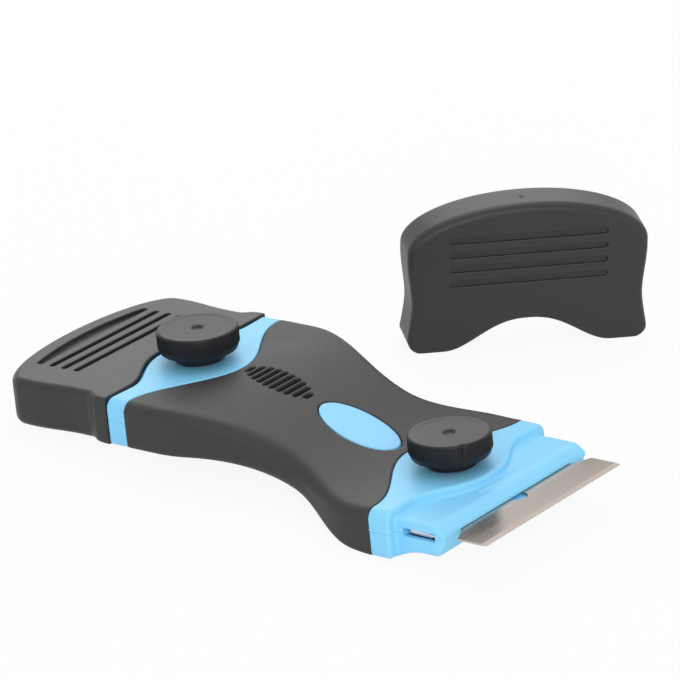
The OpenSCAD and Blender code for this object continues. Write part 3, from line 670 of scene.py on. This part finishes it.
def grow(obj, tree, values):
    modifier = obj.modifiers.new(tree.name, "NODES")
    modifier.node_group = tree
    for item in tree.interface.items_tree:
        if item.in_out == "INPUT" and item.name in values:
            modifier[item.identifier] = values[item.name]
    bpy.context.view_layer.update()
    made = bpy.data.meshes.new_from_object(obj.evaluated_get(bpy.context.evaluated_depsgraph_get()))
    obj.modifiers.remove(modifier)
    obj.data = made
    return obj


def knurlTree():
    tree, given, result = newTree("knurlRing", (
        ("Teeth", "NodeSocketInt"), ("Radius", "NodeSocketFloat"),
        ("Tooth Radius", "NodeSocketFloat"), ("Tooth Height", "NodeSocketFloat"),
        ("Middle Height", "NodeSocketFloat"), ("Material", "NodeSocketMaterial")))
    link = tree.links.new
    ring = addNode(tree, "GeometryNodeMeshCircle")
    tooth = addNode(tree, "GeometryNodeMeshCylinder", {"Vertices": 10})
    lift = addNode(tree, "ShaderNodeCombineXYZ")
    hoist = addNode(tree, "GeometryNodeSetPosition")
    spread = addNode(tree, "GeometryNodeInstanceOnPoints")
    gather = addNode(tree, "GeometryNodeJoinGeometry")
    realize = addNode(tree, "GeometryNodeRealizeInstances")
    smooth = addNode(tree, "GeometryNodeSetShadeSmooth")
    paint = addNode(tree, "GeometryNodeSetMaterial")
    link(given.outputs["Teeth"], ring.inputs["Vertices"])
    link(given.outputs["Radius"], ring.inputs["Radius"])
    link(given.outputs["Tooth Radius"], tooth.inputs["Radius"])
    link(given.outputs["Tooth Height"], tooth.inputs["Depth"])
    link(given.outputs["Middle Height"], lift.inputs["Z"])
    link(ring.outputs["Mesh"], hoist.inputs["Geometry"])
    link(lift.outputs["Vector"], hoist.inputs["Offset"])
    link(hoist.outputs["Geometry"], spread.inputs["Points"])
    link(tooth.outputs["Mesh"], spread.inputs["Instance"])
    link(given.outputs["Geometry"], gather.inputs["Geometry"])
    link(spread.outputs["Instances"], gather.inputs["Geometry"])
    link(gather.outputs["Geometry"], realize.inputs["Geometry"])
    link(realize.outputs["Geometry"], smooth.inputs["Geometry"])
    link(smooth.outputs["Geometry"], paint.inputs["Geometry"])
    link(given.outputs["Material"], paint.inputs["Material"])
    link(paint.outputs["Geometry"], result.inputs["Geometry"])
    return tree


# Knobs: a turned body with a dished top, and the knurl of fine upright teeth round its side
knob = {"teeth": 96, "root": 11.3, "tooth": 0.17, "from": 4.7, "to": 8.95, "top": 9.5,
        "segments": 192, "crease": 60}
knobProfile = (
    (0, 8.65), (0.9, 8.65), (1.2, 8.75), (1.5, 9.0), (1.75, 9.2), (2.1, 9.29), (3.0, 9.3),
    (5.6, 9.3), (6.2, 9.31), (6.6, 9.35), (7.0, 9.36), (7.5, 9.33), (8.5, 9.33), (9.1, 9.36),
    (9.7, 9.44), (10.2, 9.49), (10.7, 9.5), (11.0, 9.44), (11.2, 9.27), (11.28, 9.0),
    (11.28, 6.8), (11.28, 4.8), (11.2, 4.5), (11.08, 4.2), (11.02, 3.8), (10.95, 3.4),
    (10.75, 3.17), (10.4, 3.1), (7.9, 3.1), (7.3, 3.04), (7.05, 2.8), (7.0, 2.4), (7.0, 0.6),
    (6.92, 0.38), (6.7, 0.3), (2.6, 0.3), (2.55, 0.4), (2.55, 6.6), (0, 6.6))
nick = {"angle": -34, "radius": 11.0, "height": 9.35, "spread": 0.75, "deep": 0.8, "pressZ": 7.5}


def knobMesh(name, nicked):
    work = bmesh.new()
    angles = [2 * math.pi * number / knob["segments"] for number in range(knob["segments"])]
    rings = []
    for radius, height in knobProfile:
        if radius == 0:
            rings.append([work.verts.new((0, 0, height))])
            continue
        circle = [(radius * math.cos(angle), radius * math.sin(angle), height) for angle in angles]
        rings.append([work.verts.new(point) for point in circle])
    for first, second in zip(rings, rings[1:]):
        for number in range(knob["segments"]):
            follow = (number + 1) % knob["segments"]
            if len(first) == 1:
                work.faces.new((first[0], second[number], second[follow]))
            elif len(second) == 1:
                work.faces.new((first[number], second[0], first[follow]))
            else:
                work.faces.new((first[number], second[number], second[follow], first[follow]))
    if nicked:
        angle = math.radians(nick["angle"])
        spot = Vector((nick["radius"] * math.cos(angle), nick["radius"] * math.sin(angle),
                       nick["height"]))
        press = (spot - Vector((0, 0, nick["pressZ"]))).normalized() * nick["deep"]
        for vert in work.verts:
            near = math.exp(-((vert.co - spot).length / nick["spread"]) ** 2)
            vert.co -= press * near
    bmesh.ops.recalc_face_normals(work, faces=work.faces)
    mesh = bpy.data.meshes.new(name)
    work.to_mesh(mesh)
    work.free()
    return mesh


knurl = knurlTree()
for side, name in sideNames.items():
    title = "knobHead." + name
    piece = addObject(title, knobMesh(title, side == 1), materials["knobPlastic"])
    grow(piece, knurl, {
        "Teeth": knob["teeth"], "Radius": knob["root"], "Tooth Radius": knob["tooth"],
        "Tooth Height": knob["to"] - knob["from"], "Middle Height": (knob["to"] + knob["from"]) / 2,
        "Material": materials["knobPlastic"]})
    piece.data.transform(Matrix(knobPlace[side].tolist()))
    piece.data.set_sharp_from_angle(angle=math.radians(knob["crease"]))
    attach(piece, "knob_" + name)
    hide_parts("knob_head_" + name)
print("stage: knobs")


# Shell screws, sunk in the underside: a round head with a cross recess, each turned its own way
def screwTree():
    tree, given, result = newTree("screwSet", (
        ("Head Radius", "NodeSocketFloat"), ("Head Height", "NodeSocketFloat"),
        ("Slot Width", "NodeSocketFloat"), ("Slot Depth", "NodeSocketFloat"),
        ("Seed", "NodeSocketInt"), ("Material", "NodeSocketMaterial")))
    link = tree.links.new
    head = addNode(tree, "GeometryNodeMeshCylinder", {"Vertices": 40})
    # The recess is 1.35 head radii long and sits at the head's lower face
    reach = addNode(tree, "ShaderNodeMath", {1: 1.35}, operation="MULTIPLY")
    drop = addNode(tree, "ShaderNodeMath", {1: -0.5}, operation="MULTIPLY")
    place = addNode(tree, "ShaderNodeCombineXYZ")
    recess = addNode(tree, "GeometryNodeMeshBoolean", operation="DIFFERENCE")
    spread = addNode(tree, "GeometryNodeInstanceOnPoints")
    turn = addNode(tree, "FunctionNodeRandomValue", {"Max": 1.6}, data_type="FLOAT")
    spin = addNode(tree, "ShaderNodeCombineXYZ")
    realize = addNode(tree, "GeometryNodeRealizeInstances")
    paint = addNode(tree, "GeometryNodeSetMaterial")
    link(given.outputs["Head Radius"], head.inputs["Radius"])
    link(given.outputs["Head Height"], head.inputs["Depth"])
    link(given.outputs["Head Radius"], reach.inputs[0])
    link(given.outputs["Head Height"], drop.inputs[0])
    link(drop.outputs["Value"], place.inputs["Z"])
    for first, second in (("X", "Y"), ("Y", "X")):
        size = addNode(tree, "ShaderNodeCombineXYZ")
        bar = addNode(tree, "GeometryNodeMeshCube")
        move = addNode(tree, "GeometryNodeTransform")
        link(reach.outputs["Value"], size.inputs[first])
        link(given.outputs["Slot Width"], size.inputs[second])
        link(given.outputs["Slot Depth"], size.inputs["Z"])
        link(size.outputs["Vector"], bar.inputs["Size"])
        link(bar.outputs["Mesh"], move.inputs["Geometry"])
        link(place.outputs["Vector"], move.inputs["Translation"])
        link(move.outputs["Geometry"], recess.inputs["Mesh 2"])
    link(head.outputs["Mesh"], recess.inputs["Mesh 1"])
    link(given.outputs["Geometry"], spread.inputs["Points"])
    link(recess.outputs["Mesh"], spread.inputs["Instance"])
    link(given.outputs["Seed"], turn.inputs["Seed"])
    link(turn.outputs["Value"], spin.inputs["Z"])
    link(spin.outputs["Vector"], spread.inputs["Rotation"])
    link(spread.outputs["Instances"], realize.inputs["Geometry"])
    link(realize.outputs["Geometry"], paint.inputs["Geometry"])
    link(given.outputs["Material"], paint.inputs["Material"])
    link(paint.outputs["Geometry"], result.inputs["Geometry"])
    return tree


screwSpots = []
for side in deck:
    for y in (screw["y"], -screw["y"]):
        spot = (side * (span + screw["x"]), y, -side * rise / 2 + screw["seat"] - screw["height"] / 2)
        screwSpots.append(spot)
screwMesh = bpy.data.meshes.new("shellScrews")
screwMesh.from_pydata(screwSpots, [], [])
screws = grow(addObject("shellScrews", screwMesh, materials["platedSteel"]), screwTree(), {
    "Head Radius": screw["head"], "Head Height": screw["height"], "Slot Width": screw["slot"],
    "Slot Depth": screw["slotDepth"] * 2, "Seed": screw["seed"], "Material": materials["platedSteel"]})
screws.data.transform(Matrix(handlePlace.tolist()))
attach(screws, "handle")
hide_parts("shell_screws")

# Steel parts keep their construction shapes and get a finish
steels = {"blade": "bladeSteel", "clamp_nut": "platedSteel", "knob_stud": "platedSteel",
          "stud_clip": "platedSteel", "deck_washer": "platedSteel"}
for part, look in steels.items():
    for name in sideNames.values():
        node = frame["nodes"][part + "_" + name]
        for slot in node.material_slots:
            slot.material = materials[look]
print("stage: steel parts")

# Floor, white surround and soft studio light
white = {"ambient": 0.62, "floorMix": 0.92}
floorCorners = [(-3, -3, -0.0001), (3, -3, -0.0001), (3, 3, -0.0001), (-3, 3, -0.0001)]
floorMesh = bpy.data.meshes.new("floor")
floorMesh.from_pydata(floorCorners, [], [(0, 1, 2, 3)])


def seenPlainly(tree):
    # one where a ray comes straight from the camera, a mirror or clear glass
    path = addNode(tree, "ShaderNodeLightPath")
    first = addNode(tree, "ShaderNodeMath", operation="ADD", use_clamp=True)
    second = addNode(tree, "ShaderNodeMath", operation="ADD", use_clamp=True)
    tree.links.new(path.outputs["Is Camera Ray"], first.inputs[0])
    tree.links.new(path.outputs["Is Glossy Ray"], first.inputs[1])
    tree.links.new(first.outputs["Value"], second.inputs[0])
    tree.links.new(path.outputs["Is Transmission Ray"], second.inputs[1])
    return second.outputs["Value"]


floorMaterial = bpy.data.materials.new("floorWhite")
floorMaterial.use_nodes = True
tree = floorMaterial.node_tree
tree.nodes.clear()
paper = addNode(tree, "ShaderNodeBsdfDiffuse", {"Color": (0.92, 0.92, 0.92, 1)})
glow = addNode(tree, "ShaderNodeEmission", {"Color": (1, 1, 1, 1), "Strength": 1.0})
share = addNode(tree, "ShaderNodeMath", {1: white["floorMix"]}, operation="MULTIPLY")
blend = addNode(tree, "ShaderNodeMixShader")
output = addNode(tree, "ShaderNodeOutputMaterial")
tree.links.new(seenPlainly(tree), share.inputs[0])
tree.links.new(share.outputs["Value"], blend.inputs["Fac"])
tree.links.new(paper.outputs["BSDF"], blend.inputs[1])
tree.links.new(glow.outputs["Emission"], blend.inputs[2])
tree.links.new(blend.outputs["Shader"], output.inputs["Surface"])
addObject("floor", floorMesh, floorMaterial)

world = bpy.data.worlds.new("studio")
bpy.context.scene.world = world
world.use_nodes = True
tree = world.node_tree
level = addNode(tree, "ShaderNodeMix", data_type="FLOAT")
level.inputs["A"].default_value = white["ambient"]
level.inputs["B"].default_value = 1.0
backdrop = tree.nodes["Background"]
backdrop.inputs["Color"].default_value = (1, 1, 1, 1)
tree.links.new(seenPlainly(tree), level.inputs["Factor"])
tree.links.new(level.outputs["Result"], backdrop.inputs["Strength"])


lamps = {
    "keyLight": {"power": 2.4, "size": 0.7, "place": (-0.25, 0.25, 0.95), "aim": (0, 0, 0)},
    "fillLight": {"power": 4.4, "size": 0.8, "place": (0.75, -0.75, 0.45), "aim": (0, 0, 0.02)},
    "sheenLight": {"power": 2.8, "size": 0.9, "place": (-0.72, 0.82, 0.62), "aim": (0, 0, 0.02)},
}


def softLight(name, power, size, place, aim):
    data = bpy.data.lights.new(name, "AREA")
    data.shape = "DISK"
    data.size = size
    data.energy = power
    lamp = bpy.data.objects.new(name, data)
    lamp.location = place
    lamp.rotation_euler = (Vector(aim) - Vector(place)).to_track_quat("-Z", "Y").to_euler()
    bpy.context.scene.collection.objects.link(lamp)
    return lamp


lights = {name: softLight(name, **lamp) for name, lamp in lamps.items()}

# The low light behind gives the plastics their sheen, and is kept off the mirror-like blades
sheenGroup = bpy.data.collections.new("sheenGroup")
for obj in list(bpy.context.scene.objects):
    if obj.type == "MESH" and not obj.name.startswith("blade_"):
        sheenGroup.objects.link(obj)
lights["sheenLight"].light_linking.receiver_collection = sheenGroup

# Camera at the photo's angle
shot = {"azimuth": 38.1, "elevation": 25.3, "distance": 1408.6, "right": 5.176, "up": 10.308,
        "lens": 275.3}
azimuth, elevation = math.radians(shot["azimuth"]), math.radians(shot["elevation"])
back = Vector((math.sin(azimuth) * math.cos(elevation), -math.cos(azimuth) * math.cos(elevation),
               math.sin(elevation)))
rightward = Vector((math.cos(azimuth), math.sin(azimuth), 0))
upward = back.cross(rightward)
knobTops = middle + up * knob["top"]
aim = knobTops + rightward * shot["right"] + upward * shot["up"]
cameraData = bpy.data.cameras.new("camera")
cameraData.lens = shot["lens"]
cameraData.sensor_width = 36
cameraData.clip_end = 20
camera = bpy.data.objects.new("camera", cameraData)
camera.location = (aim + back * shot["distance"]) * 0.001
camera.rotation_euler = Matrix((rightward, upward, back)).transposed().to_euler()
bpy.context.scene.collection.objects.link(camera)
bpy.context.scene.camera = camera
bpy.context.scene.view_settings.view_transform = "Standard"
print("stage: floor, light and camera")
